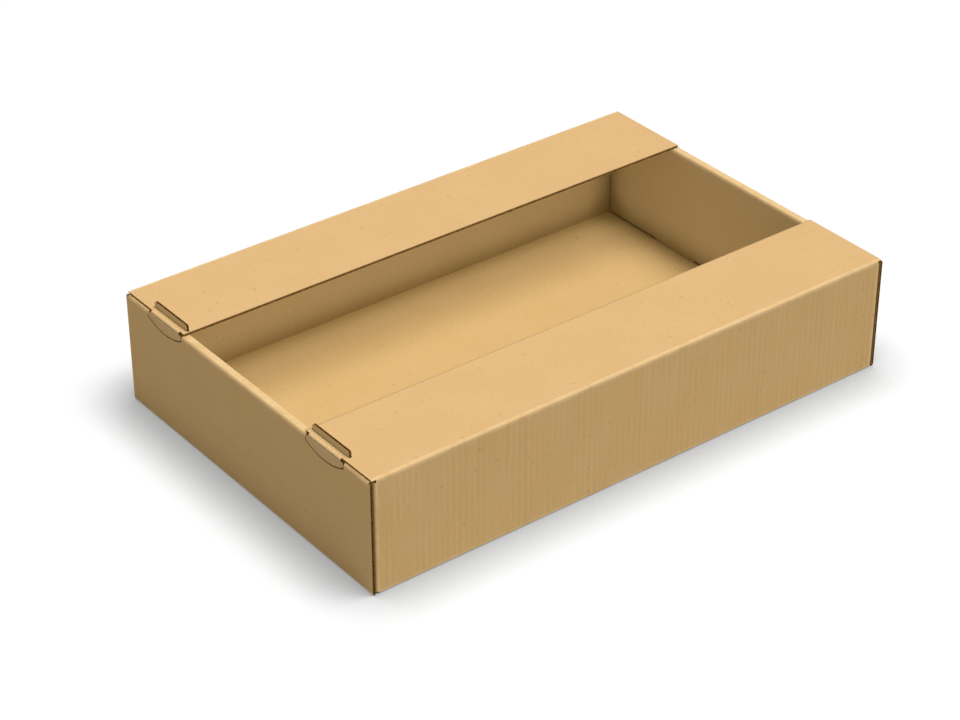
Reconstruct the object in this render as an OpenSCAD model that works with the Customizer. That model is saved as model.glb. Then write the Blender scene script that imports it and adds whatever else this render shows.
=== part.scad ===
// Display box folded from one sheet of corrugated board.
// The blank is a tray with rolled-over ends and two narrow top flaps. Nothing is glued.
// X runs along the length, with the two flap locks at the low X end. Y runs to the rear and Z up.
// The origin is the centre of the underside.

/* [Box] */
// Outside length
box_length = 400; // [330:1:480]
// Outside width
box_width = 260; // [216:1:312]
// Height from the underside to the top of the closed flaps
box_height = 80; // [66:1:96]

/* [Board] */
// Thickness of the corrugated board
board_t = 1.6; // [1.3:0.05:2]
// Inner radius of each fold
fold_r = 0.2; // [0.15:0.05:0.6]
// Space between two layers of board in an end wall
layer_gap = 0.8; // [0.5:0.05:1.2]
// Space between a cut edge and the board next to it
cut_gap = 0.2; // [0.15:0.05:0.3]
// Angle of the fold that is left open along a flap's hinge line
hinge_cut = 4; // [2:0.5:8]

/* [End walls] */
// Distance from the cut side edges of an end panel to the outside of the long walls
end_inset = 0.4; // [0.2:0.1:0.8]
// Distance from the side edges of a rim strip and inner panel to the inside of the long walls
inner_inset = 0.8; // [0.5:0.1:1.5]
// Height of the inner panel's lower edge above the floor
inner_lift = 1.2; // [0.6:0.1:2]
// Length of a dust flap, from the outside of its long wall
dust_length = 100; // [60:1:105]
// Space between the rim strip and the top of a dust flap
dust_drop = 1; // [0.8:0.1:3]
// Size of the sloped upper corner of a dust flap
dust_slope = 12; // [5:1:20]

/* [Floor locks] */
// Distance from the middle of the box to the middle of a floor tab
foot_place = 58; // [45:1:70]
// Width of a floor tab
foot_width = 40; // [30:1:48]
// Space under a floor tab
foot_gap = 0.2; // [0.1:0.1:0.5]
// Space between a floor tab and the ends of its slot
foot_play = 0.5; // [0.3:0.1:1]
// Size of the sloped lower corners of a floor tab
foot_slope = 1.2; // [0.6:0.1:1.6]

/* [Flaps] */
// Width of a flap, from the outside of its wall to its free edge
flap_width = 65.2; // [54:0.2:78.4]
// Distance from the end edges of a flap to the outside of the end walls
flap_inset = 1.4; // [1:0.1:2]
// Space between the underside of a closed flap and the rim
rest_gap = 0.1; // [0.05:0.05:0.3]

/* [Flap locks] */
// Width of board left between the tongue's slot and the flap's free edge
edge_strip = 1.5; // [1.2:0.1:4]
// Width of the tongue that stands up through a flap
tongue_width = 36.4; // [28:0.2:44]
// Height of the tongue above the closed flap
tongue_rise = 4; // [2:0.5:8]
// Radius of the tongue's upper corners
tongue_r = 1.5; // [0.5:0.1:2]
// Space between the tongue and the ends of its slot
tongue_play = 0.5; // [0.4:0.1:1]
// Space between the tongue and the sides of its slot
tongue_side_play = 0.25; // [0.15:0.05:0.4]
// Distance that the half-moon window in the end panel runs past each end of the tongue
moon_margin = 0.8; // [0.6:0.1:2]
// Depth of the window below the rim
moon_depth = 8.3; // [6:0.1:12]
// Depth of the window's straight sides below the rim
moon_side = 3.8; // [2:0.1:5]
// Radius of the window's lower corners
moon_r = 1.5; // [0.5:0.1:2]
// Space between a tuck tab and the edge of its window
moon_gap = 0.5; // [0.4:0.05:0.8]
// Distance from each end of the tongue back to the neck that joins a tuck tab to its flap
neck_step = 2.4; // [1.5:0.1:5]
// Distance between the slits along the crease of the neck
slit_pitch = 4.4; // [3:0.1:6]
// Length of one slit
slit_length = 2.2; // [1:0.1:2.6]
// Width of one slit
slit_width = 0.3; // [0.2:0.05:0.5]
// Angle of the line of slits below the top of the fold
slit_angle = 72; // [50:1:80]

/* [Hidden] */

$fn = 64;
kraft = [0.80, 0.66, 0.45];
kraft_light = [0.88, 0.74, 0.53];
kraft_mid = [0.72, 0.58, 0.39];
reach = 1;

// Half of the outside length and width, to a hundredth, so that mirrored faces meet
half_length = round(box_length * 50) / 100;
half_width = round(box_width * 50) / 100;

// Outer radius of a fold, and where the flat board starts beside it
fold_out = fold_r + board_t;
side_x = half_length - fold_out;
side_y = half_width - fold_out;

// Levels of the closed flap and of the rim under it
flap_z = box_height - board_t;
rim_z = flap_z - rest_gap;
fold_z = rim_z - fold_out;

// Angle of the top fold that stays on the wall, and of the part that goes with the flap
half_fold = 45 - hinge_cut / 2;

// Places of the three layers of an end wall, measured from the middle
dust_x = half_length - board_t - layer_gap;
inner_x = dust_x - board_t - layer_gap;
inside_x = inner_x - board_t;
corner_x = dust_x - fold_out;

// Half widths of the end panel, and of the rim strip and inner panel
end_y = half_width - end_inset;
inner_y = half_width - board_t - inner_inset;

// Floor tabs
foot_top = board_t + inner_lift;

// Flaps and their locks
flap_edge_y = half_width - flap_width;
flap_end_x = half_length - flap_inset;
lock_y = flap_edge_y + edge_strip + tongue_play + tongue_width / 2;
moon_width = tongue_width + 2 * moon_margin;
neck_width = tongue_width - 2 * neck_step;
tongue_top = box_height + tongue_rise;
slit_count = floor(neck_width / slit_pitch);

// A block between two corners
module block(low, high) {
    translate(low) cube(high - low);
}

// A fold whose axis lies along X, at (y, z), turning from the angle start through sweep.
// Angles are counted from +Y towards +Z.
module fold_x(y, z, half_span, start, sweep) {
    translate([0, y, z])
        rotate([90, 0, 90])
            rotate([0, 0, start])
                rotate_extrude(angle = sweep)
                    translate([fold_r, -half_span]) square([board_t, 2 * half_span]);
}

// A fold whose axis lies along Y, at (x, z), between y = low and y = high.
// Angles are counted from +X towards +Z.
module fold_y(x, z, low, high, start, sweep) {
    translate([x, 0, z])
        rotate([90, 0, 0])
            rotate([0, 0, start])
                rotate_extrude(angle = sweep)
                    translate([fold_r, -high]) square([board_t, high - low]);
}

// A fold whose axis is upright, at (x, y), between z = low and z = high.
// Angles are counted from +X towards +Y.
module fold_z(x, y, low, high, start, sweep) {
    translate([x, y, 0])
        rotate([0, 0, start])
            rotate_extrude(angle = sweep)
                translate([fold_r, low]) square([board_t, high - low]);
}

// The two long sides, or the two ends, from one of them
module both_sides() {
    children();
    mirror([0, 1, 0]) children();
}
module both_ends() {
    children();
    mirror([1, 0, 0]) children();
}

// A plate that stands across X, from an outline drawn in Y and Z
module end_plate(x, thickness) {
    translate([x, 0, 0])
        rotate([90, 0, 90])
            linear_extrude(thickness) children();
}

// Half-moon outline below the rim, grown inwards by gap, with its top left open upwards
module half_moon(gap, top) {
    half = moon_width / 2;
    drop = moon_depth - moon_side;
    arc_r = (half * half + drop * drop) / (2 * drop);
    corner_y = half - gap - moon_r;
    arc_y = sqrt(pow(arc_r - gap - moon_r, 2) - pow(corner_y, 2));
    corner_z = rim_z - moon_depth + arc_r - arc_y;
    translate([-lock_y, 0]) {
        intersection() {
            translate([0, rim_z - moon_depth + arc_r]) circle(arc_r - gap, $fn = 360);
            union() {
                translate([-half + gap, corner_z]) square([2 * (half - gap), top - corner_z]);
                translate([-corner_y, corner_z - arc_r]) square([2 * corner_y, arc_r]);
                for (side = [-1, 1])
                    translate([side * corner_y, corner_z]) circle(moon_r);
            }
        }
    }
}

// Floor, with a slot for each floor tab
module base() {
    color(kraft)
        difference() {
            block([-side_x, -side_y, 0], [side_x, side_y, board_t]);
            both_ends() both_sides()
                block([inside_x - cut_gap, foot_place - foot_width / 2 - foot_play, -reach],
                      [inner_x + cut_gap, foot_place + foot_width / 2 + foot_play, board_t + reach]);
        }
}

// Front wall with the folds to the floor and up to its half of the hinge line
module long_wall() {
    wall_y = -half_width;
    color(kraft) {
        block([-corner_x, wall_y, fold_out], [corner_x, wall_y + board_t, box_height - fold_out]);
        fold_x(-side_y, fold_out, corner_x, 180, 90);
        fold_x(-side_y, box_height - fold_out, corner_x, 180, -half_fold);
    }
}

// Dust flap of the front wall at the low X end, with its corner fold
module dust_flap() {
    low_z = board_t + layer_gap;
    top_z = rim_z - board_t - dust_drop;
    tip_y = -half_width + dust_length;
    color(kraft_mid) {
        fold_z(-corner_x, -side_y, board_t + cut_gap, box_height - fold_out - cut_gap, 180, 90);
        end_plate(-dust_x, board_t)
            polygon([[-side_y, low_z], [tip_y - dust_slope, low_z], [tip_y, low_z + dust_slope],
                     [tip_y, top_z - dust_slope], [tip_y - dust_slope, top_z], [-side_y, top_z]]);
    }
}

// Outer end panel at the low X end, with the fold to the floor
module end_panel() {
    color(kraft_mid) {
        fold_y(-side_x, fold_out, -end_y, end_y, 180, 90);
        end_plate(-half_length, board_t)
            union() {
                translate([-end_y, fold_out]) square([2 * end_y, fold_z - fold_out]);
                for (side = [-1, 1])
                    translate([side * (end_y + inner_y + cut_gap) / 2, (fold_out + rim_z - cut_gap) / 2])
                        square([end_y - inner_y - cut_gap, rim_z - cut_gap - fold_out], center = true);
            }
    }
}

// Rim strip at the low X end, rolled over from the outer panel to the inner one
module rim_strip() {
    color(kraft_light) {
        fold_y(-side_x, fold_z, -inner_y, inner_y, 90, 90);
        block([-side_x, -inner_y, rim_z - board_t], [-inside_x - fold_out, inner_y, rim_z]);
        fold_y(-inside_x - fold_out, fold_z, -inner_y, inner_y, 0, 90);
    }
}

// Inner end panel at the low X end, with the two tabs that lock it into the floor
module inner_panel() {
    color(kraft_mid)
        end_plate(-inner_x, board_t) {
            translate([-inner_y, foot_top]) square([2 * inner_y, fold_z - foot_top]);
            for (side = [-1, 1])
                translate([side * foot_place, 0])
                    polygon([[-foot_width / 2, foot_top], [-foot_width / 2, foot_gap + foot_slope],
                             [-foot_width / 2 + foot_slope, foot_gap], [foot_width / 2 - foot_slope, foot_gap],
                             [foot_width / 2, foot_gap + foot_slope], [foot_width / 2, foot_top]]);
        }
}

// What the front lock removes from the outer panel and the rim: the window and the tongue's outline
module lock_cut() {
    end_plate(-half_length - reach, reach + fold_out) half_moon(0, rim_z + reach);
    block([-side_x, -lock_y - tongue_width / 2 - cut_gap, fold_z],
          [-inside_x + reach, -lock_y + tongue_width / 2 + cut_gap, rim_z + reach]);
}

// Tongue of the front lock, cut from the rim and standing up from the inner panel
module tongue() {
    color(kraft_mid)
        end_plate(-inner_x, board_t)
            translate([-lock_y, 0])
                union() {
                    translate([-tongue_width / 2, fold_z])
                        square([tongue_width, tongue_top - tongue_r - fold_z]);
                    translate([-tongue_width / 2 + tongue_r, fold_z])
                        square([tongue_width - 2 * tongue_r, tongue_top - fold_z]);
                    for (side = [-1, 1])
                        translate([side * (tongue_width / 2 - tongue_r), tongue_top - tongue_r])
                            circle(tongue_r);
                }
}

// Tray: floor, walls, rolled-over ends and the tongues, all one sheet
module tray() {
    base();
    both_sides() long_wall();
    both_ends() both_sides() dust_flap();
    difference() {
        union() {
            end_panel();
            rim_strip();
        }
        both_sides() lock_cut();
    }
    mirror([1, 0, 0]) {
        end_panel();
        rim_strip();
    }
    both_ends() inner_panel();
    both_sides() tongue();
}

// Tuck tab of the front flap: the neck that folds over the rim, and the head in its window
module tuck_tab() {
    neck_low = -lock_y - neck_width / 2;
    neck_high = -lock_y + neck_width / 2;
    fold_top = box_height - fold_out;
    color(kraft_light) {
        difference() {
            fold_y(-side_x, fold_top, neck_low, neck_high, 90, 90);
            translate([-side_x, -lock_y, fold_top])
                rotate([0, -slit_angle, 0])
                    for (slit = [0:slit_count - 1])
                        translate([0, (slit - (slit_count - 1) / 2) * slit_pitch, fold_out / 2 + reach])
                            cube([slit_width, slit_length, fold_out + 2 * reach - fold_r], center = true);
        }
        end_plate(-half_length, board_t)
            intersection() {
                half_moon(moon_gap, rim_z);
                translate([-lock_y - moon_width, rim_z - 2 * moon_depth])
                    square([2 * moon_width, fold_top - rim_z + 2 * moon_depth]);
            }
    }
}

// Front flap with its half of the hinge fold, the slot for the tongue and the tuck tab
module front_flap() {
    color(kraft_light) {
        fold_x(-side_y, box_height - fold_out, flap_end_x, 90, half_fold);
        difference() {
            block([-flap_end_x, -side_y, flap_z], [flap_end_x, -flap_edge_y, box_height]);
            block([-inner_x - tongue_side_play, -lock_y - tongue_width / 2 - tongue_play, flap_z - reach],
                  [-inside_x + tongue_side_play, -lock_y + tongue_width / 2 + tongue_play,
                   box_height + reach]);
            block([-half_length, -lock_y - neck_width / 2 - cut_gap, flap_z - reach],
                  [-side_x, -lock_y + neck_width / 2 + cut_gap, box_height + reach]);
        }
    }
    tuck_tab();
}

// Rear flap, the same as the front one and facing it
module rear_flap() {
    mirror([0, 1, 0]) front_flap();
}

tray();
front_flap();
rear_flap();
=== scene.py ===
"""Looks of a display box that is folded from one sheet of brown corrugated board.

The board is laid up flat and folded afterwards, as the real one is. Each part of the die-cut
sheet is drawn as flat outlines, its two liners and its fluted medium are built in that flat
sheet, and every point is then folded to its place. Flat sizes are in millimetres: the first
coordinate runs along the box, the second across it, and the third is the depth below the
board's outer face. Finished meshes are in metres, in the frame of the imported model.
"""

import logging
import math
from dataclasses import dataclass
from enum import Enum, IntEnum
from functools import cached_property

import bpy
import numpy as np
from mathutils import Matrix, Vector
from mathutils.geometry import delaunay_2d_cdt


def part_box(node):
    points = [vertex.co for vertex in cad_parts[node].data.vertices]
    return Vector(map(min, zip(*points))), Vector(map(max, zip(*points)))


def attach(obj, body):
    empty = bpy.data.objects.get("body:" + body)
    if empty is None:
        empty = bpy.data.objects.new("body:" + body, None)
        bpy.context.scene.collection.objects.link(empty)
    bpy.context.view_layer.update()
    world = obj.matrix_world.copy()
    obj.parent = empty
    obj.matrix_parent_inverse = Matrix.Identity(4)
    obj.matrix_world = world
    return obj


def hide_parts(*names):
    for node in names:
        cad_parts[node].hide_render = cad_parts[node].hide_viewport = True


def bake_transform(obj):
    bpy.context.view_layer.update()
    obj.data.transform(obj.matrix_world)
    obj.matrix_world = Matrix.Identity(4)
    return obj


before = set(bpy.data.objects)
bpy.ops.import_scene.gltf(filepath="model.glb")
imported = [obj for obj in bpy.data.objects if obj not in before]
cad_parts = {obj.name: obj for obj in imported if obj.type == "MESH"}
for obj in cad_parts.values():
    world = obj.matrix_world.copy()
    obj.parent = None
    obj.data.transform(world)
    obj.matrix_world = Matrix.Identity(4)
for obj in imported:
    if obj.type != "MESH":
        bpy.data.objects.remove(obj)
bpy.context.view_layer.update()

LOG = logging.getLogger("display_box")
MM = 0.001
TINY = 0.01  # Play in comparing flat places, in millimetres.
OVERRUN = 1.0  # How far dividing lines run past an outline, in millimetres.
SHARP_DEGREES = 50.0
SEED = 7

Point = tuple[float, float]
Loop = list[Point]
Line = tuple[Point, Point]
Colour = tuple[float, float, float, float]
WHITE: Colour = (1.0, 1.0, 1.0, 1.0)


class Face(IntEnum):
    """Which side of a paper layer a face is on."""

    OUTER = 0
    INNER = 1
    CUT = 2


class Bend(Enum):
    """What a stretch of a folded strip does."""

    FLAT = "flat"
    FOLD = "fold"


class Side(Enum):
    """The two long sides of the box, by the sign of their place across it."""

    FRONT = -1
    REAR = 1

    def turned(self, loop: Loop) -> Loop:
        """Bring points that are drawn for the rear side to this one."""
        return [(u, self.value * v) for u, v in loop]


def rectangle(u: float, v: float, far_u: float, far_v: float) -> Loop:
    """Outline of a rectangle between two opposite corners."""
    return [(u, v), (far_u, v), (far_u, far_v), (u, far_v)]


def line_across(place: float, reach: float) -> Line:
    """Line across the sheet at a place along it, equally far to both sides."""
    return (place, -reach), (place, reach)


def line_along(place: float, reach: float) -> Line:
    """Line along the sheet at a place across it, equally far to both ends."""
    return (-reach, place), (reach, place)


def linear(red: int, green: int, blue: int) -> Colour:
    """Turn a colour as a screen shows it into the linear colour that a shader takes.

    Args:
        red: Red, from 0 to 255.
        green: Green, from 0 to 255.
        blue: Blue, from 0 to 255.

    Returns:
        The linear colour, with full alpha.
    """
    def channel(value: int) -> float:
        """Linear value of one channel."""
        share = value / 255
        return share / 12.92 if share <= 0.04045 else ((share + 0.055) / 1.055) ** 2.4

    return channel(red), channel(green), channel(blue), 1.0


@dataclass(frozen=True)
class Board:
    """Corrugated board: two liners with a fluted medium between them."""

    thickness: float = 1.6
    liner: float = 0.25
    medium: float = 0.2
    pitch: float = 4.4
    clearance: float = 0.02
    fold_inside: float = 0.2
    fold_steps: int = 10
    # Reach onto flat board, and share at a fold's sides, of the crease wear and painted highlight.
    wear: float = 1.5
    wear_at_side: float = 0.3
    flute_steps: int = 8
    crushed_steps: int = 3

    @property
    def fold_outside(self) -> float:
        """Radius of a fold at the board's outer face."""
        return self.fold_inside + self.thickness

    @property
    def fold_length(self) -> float:
        """Length of flat board that a square fold takes up."""
        return math.pi / 2 * (self.fold_inside + self.thickness / 2)

    @property
    def flute_height(self) -> float:
        """Distance of the medium's crests from the middle of the board."""
        return self.thickness / 2 - self.liner - self.medium / 2 - self.clearance

    @property
    def liner_depths(self) -> tuple[Point, Point]:
        """Depths of the outer liner's two faces, and of the inner liner's."""
        return (0.0, self.liner), (self.thickness - self.liner, self.thickness)

    @property
    def medium_depths(self) -> Point:
        """Depths of the medium's two faces before its flutes are pressed."""
        return (self.thickness - self.medium) / 2, (self.thickness + self.medium) / 2


@dataclass(frozen=True)
class FoldPath:
    """Section of a folded strip, along the board's outer face.

    Every fold is square and turns the same way, towards the board's inner face.
    """

    board: Board
    start: Point
    turn: int
    stretches: tuple[tuple[Bend, float], ...]

    def spans(self) -> list[tuple[Bend, float, float]]:
        """List each stretch with the flat distances at which it begins and ends.

        Returns:
            Each stretch's kind, begin and end, in order along the path.
        """
        found, begin = [], 0.0
        for bend, length in self.stretches:
            taken = self.board.fold_length if bend is Bend.FOLD else length
            found.append((bend, begin, begin + taken))
            begin += taken
        return found

    def creases(self, steps: int, limit: float = math.inf) -> list[float]:
        """Give the flat distances at which the sheet is divided, to bend smoothly and to spread the
        crease wear and painted highlight smoothly.

        Args:
            steps: Number of divisions in each square fold.
            limit: Longest distance that is wanted.

        Returns:
            The distances, in rising order.
        """
        places = []
        for bend, begin, end in self.spans():
            if bend is Bend.FOLD:
                places += [begin + (end - begin) * step / steps for step in range(steps + 1)]
            elif end - begin > 2 * self.board.wear:
                places += [begin + self.board.wear, end - self.board.wear]
        return sorted(place for place in places if place < limit + TINY)

    def outward(self, angle: float | np.ndarray) -> np.ndarray:
        """Give the direction out of the board where the path heads at an angle."""
        return self.turn * np.array([np.sin(angle), -np.cos(angle)])

    def at(self, along: np.ndarray,
           depth: np.ndarray) -> tuple[np.ndarray, np.ndarray, np.ndarray]:
        """Place points of the flat strip on the folded section.

        Args:
            along: Flat distances from the start of the path.
            depth: Depths below the board's outer face.

        Returns:
            Places, directions out of the board, and how creased each point is, which sets the
            crease wear
            and painted highlight: one in the middle of a fold, less at its sides, and zero on flat
                board.
        """
        places, ways = np.zeros((len(along), 2)), np.zeros((len(along), 2))
        bent = np.zeros(len(along))
        side, reach = self.board.wear_at_side, self.board.wear
        origin, heading = np.array(self.start, float), 0.0
        last = len(self.stretches) - 1
        for index, (bend, begin, end) in enumerate(self.spans()):
            here = (along >= begin - TINY) if index == 0 else (along > begin)
            if index < last:
                here &= along <= end
            share = (along - begin) / (end - begin)
            angle = heading + (math.pi / 2 * self.turn * share if bend is Bend.FOLD else 0 * share)
            way = self.outward(angle).T
            if bend is Bend.FOLD:
                radius = self.board.fold_outside
                centre = origin - radius * self.outward(heading)
                place = centre + radius * way
                wear_and_painted_light = side + (1 - side) * 4 * share * (1 - share)
                heading_after = heading + math.pi / 2 * self.turn
                origin_after = centre + radius * self.outward(heading_after)
            else:
                step = np.array([math.cos(heading), math.sin(heading)])
                place = origin + (along - begin)[:, None] * step
                after = end - along if index < last else np.full(len(along), math.inf)
                wear_and_painted_light = side * np.clip(1 - np.minimum(along - begin, after) / reach, 0, 1)
                heading_after = heading
                origin_after = origin + (end - begin) * step
            places[here], ways[here], bent[here] = place[here], way[here], wear_and_painted_light[here]
            origin, heading = origin_after, heading_after
        return places - depth[:, None] * ways, ways, bent


@dataclass(frozen=True)
class Blank:
    """The die-cut sheet: its outlines while flat, and the place of every point once folded."""

    board: Board
    half_length: float
    half_width: float
    height: float
    tongue_top: float
    flap_edge_y: float
    flap_end_x: float
    layer_gap: float = 0.8
    cut_gap: float = 0.2
    end_inset: float = 0.4
    inner_inset: float = 0.8
    inner_lift: float = 1.2
    rest_gap: float = 0.1
    dust_length: float = 100.0
    dust_drop: float = 1.0
    dust_slope: float = 12.0
    foot_place: float = 58.0
    foot_width: float = 40.0
    foot_gap: float = 0.2
    foot_play: float = 0.5
    foot_slope: float = 1.2
    edge_strip: float = 1.5
    tongue_width: float = 36.4
    tongue_r: float = 1.5
    tongue_play: float = 0.5
    tongue_side_play: float = 0.25
    moon_margin: float = 0.8
    moon_depth: float = 8.3
    moon_side: float = 3.8
    moon_r: float = 1.5
    moon_gap: float = 0.5
    moon_steps: int = 48
    corner_steps: int = 6
    neck_step: float = 2.4
    slit_pitch: float = 4.4
    slit_length: float = 2.2
    slit_width: float = 0.3
    slit_angle: float = 72.0
    # Width and strength of the painted shade along the flaps' free edges, and its width round the
    # half-moons.
    free_edge_shade_width: float = 1.2
    free_edge_shade: float = 0.4
    moon_shade_width: float = 0.35

    @cached_property
    def radius(self) -> float:
        """Outer radius of every fold."""
        return self.board.fold_outside

    @cached_property
    def side_x(self) -> float:
        """Place along the box where the floor's end folds start."""
        return self.half_length - self.radius

    @cached_property
    def side_y(self) -> float:
        """Place across the box where the floor's long folds start."""
        return self.half_width - self.radius

    @cached_property
    def rim_z(self) -> float:
        """Level of the rolled-over rims."""
        return self.height - self.board.thickness - self.rest_gap

    @cached_property
    def fold_z(self) -> float:
        """Level at which an end panel's top fold starts."""
        return self.rim_z - self.radius

    @cached_property
    def corner_x(self) -> float:
        """Place along the box where a long wall's corner folds start."""
        return self.half_length - self.board.thickness - self.layer_gap - self.radius

    @cached_property
    def inner_x(self) -> float:
        """Place of the hidden face of an inner end panel."""
        return self.half_length - 2 * (self.board.thickness + self.layer_gap)

    @cached_property
    def inside_x(self) -> float:
        """Place of the face of an inner end panel that shows inside the tray."""
        return self.inner_x - self.board.thickness

    @cached_property
    def end_y(self) -> float:
        """Half width of an outer end panel."""
        return self.half_width - self.end_inset

    @cached_property
    def inner_y(self) -> float:
        """Half width of a rim and of an inner end panel."""
        return self.half_width - self.board.thickness - self.inner_inset

    @cached_property
    def lock_y(self) -> float:
        """Distance of a flap's lock from the middle of the box."""
        return self.flap_edge_y + self.edge_strip + self.tongue_play + self.tongue_width / 2

    @cached_property
    def neck_width(self) -> float:
        """Width of the neck between a flap and its tuck tab."""
        return self.tongue_width - 2 * self.neck_step

    @cached_property
    def long_path(self) -> FoldPath:
        """Section from the floor up a long wall and in along its flap."""
        return FoldPath(self.board, (self.side_y, 0.0), 1, (
            (Bend.FOLD, 0.0), (Bend.FLAT, self.height - 2 * self.radius),
            (Bend.FOLD, 0.0), (Bend.FLAT, self.side_y - self.flap_edge_y)))

    @cached_property
    def end_path(self) -> FoldPath:
        """Section from the floor up an end panel, over the rim and down the inner panel."""
        return FoldPath(self.board, (self.side_x, 0.0), 1, (
            (Bend.FOLD, 0.0), (Bend.FLAT, self.fold_z - self.radius),
            (Bend.FOLD, 0.0), (Bend.FLAT, self.side_x - self.inside_x - self.radius),
            (Bend.FOLD, 0.0), (Bend.FLAT, self.fold_z - self.foot_gap)))

    @cached_property
    def dust_path(self) -> FoldPath:
        """Section from a long wall round its corner and along the dust flap."""
        return FoldPath(self.board, (self.corner_x, self.half_width), -1, (
            (Bend.FOLD, 0.0), (Bend.FLAT, self.dust_length - self.radius)))

    @cached_property
    def neck_path(self) -> FoldPath:
        """Section from a flap over the rim and down its tuck tab."""
        return FoldPath(self.board, (self.side_x, self.height), -1, (
            (Bend.FOLD, 0.0), (Bend.FLAT, self.moon_depth)))

    def wall_v(self, level: float) -> float:
        """Flat distance across the sheet of a level on a long wall."""
        return self.side_y + self.board.fold_length + level - self.radius

    def panel_u(self, level: float) -> float:
        """Flat distance along the sheet of a level on an outer end panel."""
        return self.side_x + self.board.fold_length + level - self.radius

    def inner_u(self, level: float) -> float:
        """Flat distance along the sheet of a level on an inner end panel."""
        rim = self.side_x - self.inside_x - self.radius
        return self.panel_u(self.fold_z) + 2 * self.board.fold_length + rim + self.fold_z - level

    def flap_v(self, place: float) -> float:
        """Flat distance across the sheet of a place on a flap, measured from the middle."""
        return self.wall_v(self.height - self.radius) + self.board.fold_length + self.side_y - place

    def tab_u(self, level: float) -> float:
        """Flat distance along the sheet of a level on a tuck tab."""
        return self.side_x + self.board.fold_length + self.height - self.radius - level

    @cached_property
    def hinge_v(self) -> float:
        """Flat distance across the sheet of a flap's hinge line, half way round its fold."""
        return self.wall_v(self.height - self.radius) + self.board.fold_length / 2

    def tray_outline(self, top: float) -> Loop:
        """Outline of the tray's part of the sheet.

        Args:
            top: Flat distance across the sheet at which the long walls end.

        Returns:
            The closed outline.
        """
        bend = self.board.fold_length
        dust_low = self.board.thickness + self.layer_gap
        dust_top = self.rim_z - self.board.thickness - self.dust_drop
        fold_end = self.corner_x + bend
        tip = fold_end + self.dust_length - self.radius
        slope = self.dust_slope
        corner_top = self.wall_v(self.height - self.radius - self.cut_gap)
        rise_end = self.panel_u(self.rim_z - self.cut_gap)
        foot_low = self.foot_place - self.foot_width / 2
        foot_high = self.foot_place + self.foot_width / 2
        foot_root = self.inner_u(self.board.thickness + self.inner_lift)
        foot_side = self.inner_u(self.foot_gap + self.foot_slope)
        foot_end = self.inner_u(self.foot_gap)
        quarter = [
            (self.corner_x, top), (self.corner_x, corner_top), (fold_end, corner_top),
            (fold_end, self.wall_v(dust_top)), (tip - slope, self.wall_v(dust_top)),
            (tip, self.wall_v(dust_top - slope)), (tip, self.wall_v(dust_low + slope)),
            (tip - slope, self.wall_v(dust_low)), (fold_end, self.wall_v(dust_low)),
            (fold_end, self.wall_v(self.radius)), (self.corner_x, self.wall_v(self.radius)),
            (self.corner_x, self.side_y), (self.side_x, self.side_y), (self.side_x, self.end_y),
            (rise_end, self.end_y), (rise_end, self.inner_y + self.cut_gap),
            (self.panel_u(self.fold_z), self.inner_y + self.cut_gap),
            (self.panel_u(self.fold_z), self.inner_y), (foot_root, self.inner_y),
            (foot_root, foot_high), (foot_side, foot_high),
            (foot_end, foot_high - self.foot_slope), (foot_end, foot_low + self.foot_slope),
            (foot_side, foot_low), (foot_root, foot_low)]
        half = quarter + [(u, -v) for u, v in reversed(quarter)]
        return half + [(-u, v) for u, v in reversed(half)]

    def floor_slots(self) -> list[Loop]:
        """Outlines of the four slots that hold the inner panels' floor tabs.

        Returns:
            One closed outline for each slot.
        """
        low = self.foot_place - self.foot_width / 2 - self.foot_play
        high = self.foot_place + self.foot_width / 2 + self.foot_play
        near, far = self.inside_x - self.cut_gap, self.inner_x + self.cut_gap
        return [rectangle(end * near, side * low, end * far, side * high)
                for end in (-1, 1) for side in (-1, 1)]

    def half_moon(self, gap: float) -> Loop:
        """Lower outline of a half-moon, from one upright side to the other.

        Args:
            gap: Distance by which the outline is drawn inwards.

        Returns:
            Points as (place across from the lock's middle, level).
        """
        half = self.tongue_width / 2 + self.moon_margin
        drop = self.moon_depth - self.moon_side
        arc = (half * half + drop * drop) / (2 * drop)
        centre_z = self.rim_z - self.moon_depth + arc
        corner_y = half - gap - self.moon_r
        corner_down = math.sqrt((arc - gap - self.moon_r) ** 2 - corner_y ** 2)
        meet = math.atan2(corner_down, corner_y)
        corner = [(corner_y + self.moon_r * math.cos(meet * step / self.corner_steps),
                   centre_z - corner_down - self.moon_r * math.sin(meet * step / self.corner_steps))
                  for step in range(self.corner_steps)]
        sweep = math.pi - 2 * meet
        bottom = [((arc - gap) * math.cos(meet + sweep * step / self.moon_steps),
                   centre_z - (arc - gap) * math.sin(meet + sweep * step / self.moon_steps))
                  for step in range(self.moon_steps + 1)]
        return corner + bottom + [(-y, z) for y, z in reversed(corner)]

    def moon_on_panel(self, side: Side, gap: float) -> Loop:
        """Outline of a half-moon window in the flat end panel, drawn inwards by a gap."""
        return [(-self.panel_u(z), side.value * self.lock_y + y) for y, z in self.half_moon(gap)]

    def moon_on_tab(self, gap: float) -> Loop:
        """Outline of the rear tuck tab in the flat flap, drawn inwards by a gap."""
        middle = self.flap_v(self.lock_y)
        return [(-self.tab_u(z), middle + y) for y, z in self.half_moon(gap)]

    def tongue_tip(self) -> Loop:
        """Outline of a tongue above its root.

        Returns:
            Points as (place across from the tongue's middle, level).
        """
        half, turn = self.tongue_width / 2, self.tongue_r
        corner = [(half - turn + turn * math.cos(math.pi / 2 * step / self.corner_steps),
                   self.tongue_top - turn + turn * math.sin(math.pi / 2 * step / self.corner_steps))
                  for step in range(self.corner_steps + 1)]
        return [(half, self.fold_z), *corner, *[(-y, z) for y, z in reversed(corner)],
                (-half, self.fold_z)]

    def tongue_outline(self, side: Side) -> Loop:
        """Outline of one tongue in the flat sheet."""
        return [(-self.inner_u(z), side.value * self.lock_y + y) for y, z in self.tongue_tip()]

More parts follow.
